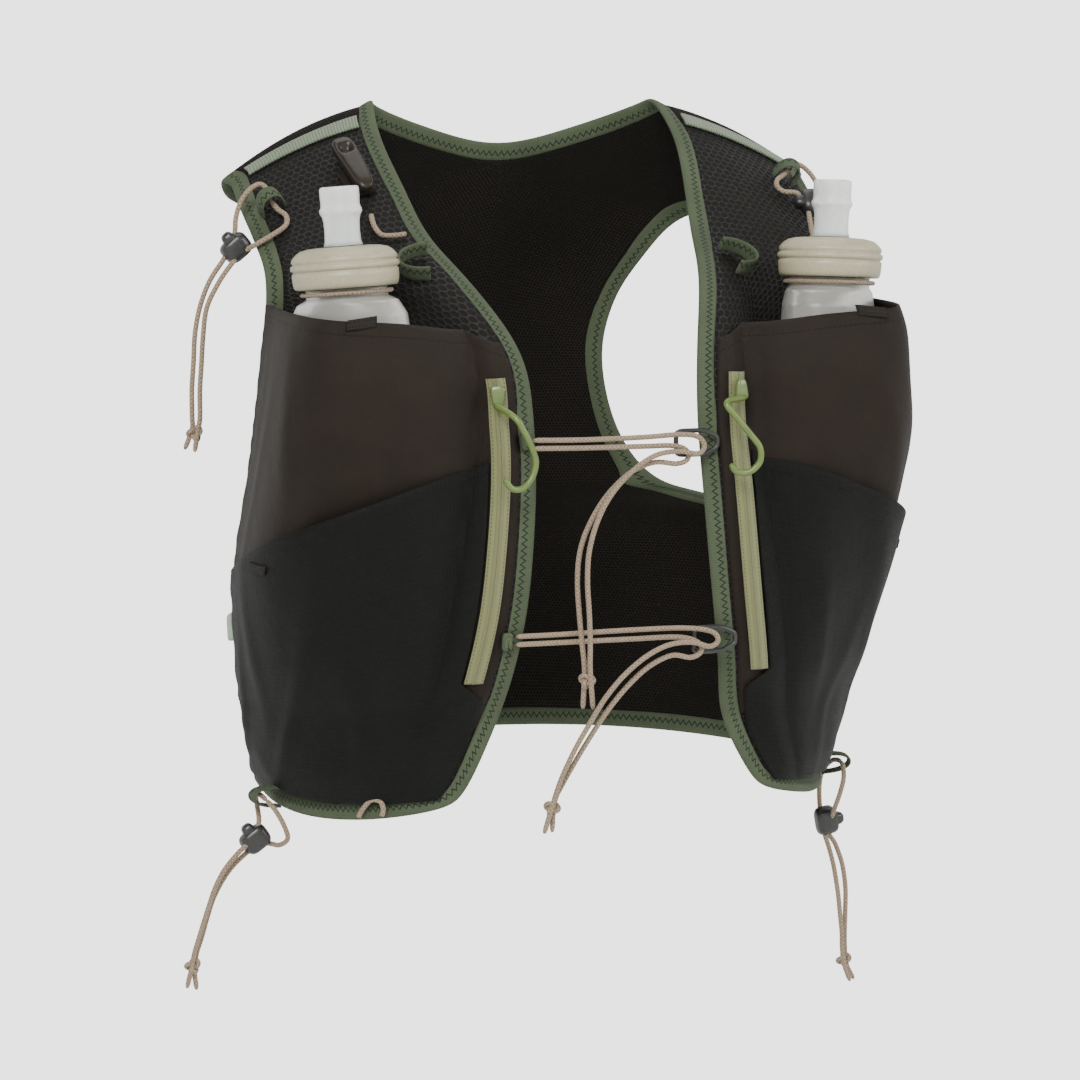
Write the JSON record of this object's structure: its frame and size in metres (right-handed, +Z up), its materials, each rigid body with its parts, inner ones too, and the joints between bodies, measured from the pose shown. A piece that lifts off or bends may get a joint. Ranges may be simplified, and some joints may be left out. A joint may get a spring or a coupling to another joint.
{
  "type": "running hydration vest",
  "caption": "Running vest with a soft flask in each chest pocket, mesh panels bound in ribbed tape, and elastic cords across the chest and at the shoulders and hem.",
  "frame": {"origin": "middle of the wearer's body, level with the shoulder ridges that the vest hangs from", "axes": "+Z up, the chest faces -Y, and the wearer's left is at +X"},
  "size_m": [0.3726, 0.2432, 0.472],
  "materials": {
    "sage_binding": "ribbed stretch binding with zigzag stitching",
    "mesh_lining": "knitted air mesh, almost black",
    "flask_pocket_cloth": "stretch woven, dark brown",
    "lower_pocket_cloth": "dark ripstop weave",
    "zip_tape": "olive yellow zip tape",
    "zip_pull": "lime plastic",
    "elastic_cord": "braided elastic, tan",
    "hard_black": "moulded nylon",
    "light_webbing": "ribbed webbing",
    "side_buckle": "moulded nylon",
    "whistle": "moulded plastic",
    "flask_lid": "warm grey plastic",
    "flask_valve": "translucent silicone",
    "flask_film": "soft translucent film"
  },
  "bodies": {
    "root": {"front_binding": "sage_binding", "back_hem_binding": "sage_binding", "armhole_binding_left": "sage_binding", "armhole_binding_right": "sage_binding", "edge_loop_left": "sage_binding", "edge_loop_right": "sage_binding", "hem_loop_left": "sage_binding", "hem_loop_right": "sage_binding", "shoulder_loop_left": "sage_binding", "shoulder_loop_right": "sage_binding", "side_strap_left": "sage_binding", "side_strap_right": "sage_binding", "cord_anchor_upper": "sage_binding", "cord_anchor_lower": "sage_binding", "back_panel": "mesh_lining", "front_panel_left": "mesh_lining", "front_panel_right": "mesh_lining", "flask_pocket_left": "flask_pocket_cloth", "flask_pocket_right": "flask_pocket_cloth", "whistle_holder": "flask_pocket_cloth", "lower_pocket_left": "lower_pocket_cloth", "lower_pocket_right": "lower_pocket_cloth", "zip_tape_left": "zip_tape", "zip_tape_right": "zip_tape", "zip_pull_left": "zip_pull", "zip_pull_right": "zip_pull", "zip_slider_left": "zip_pull", "zip_slider_right": "zip_pull", "adjuster_cord_shoulder_left": "elastic_cord", "adjuster_cord_shoulder_right": "elastic_cord", "adjuster_cord_hem_left": "elastic_cord", "adjuster_cord_hem_right": "elastic_cord", "sternum_cord_upper": "elastic_cord", "sternum_cord_lower": "elastic_cord", "whistle_cord": "elastic_cord", "hem_cord_loop": "elastic_cord", "flask_bungee_left": "elastic_cord", "flask_bungee_right": "elastic_cord", "cord_lock_shoulder_left": "hard_black", "cord_lock_shoulder_right": "hard_black", "cord_lock_hem_left": "hard_black", "cord_lock_hem_right": "hard_black", "sternum_hook_upper": "hard_black", "sternum_hook_lower": "hard_black", "shoulder_webbing_left": "light_webbing", "shoulder_webbing_right": "light_webbing", "side_buckle_left": "side_buckle", "side_buckle_right": "side_buckle", "whistle": "whistle", "flask_lid_left": "flask_lid", "flask_lid_right": "flask_lid", "flask_valve_left": "flask_valve", "flask_valve_right": "flask_valve", "flask_body_left": "flask_film", "flask_body_right": "flask_film"}
  },
  "joints": []
}
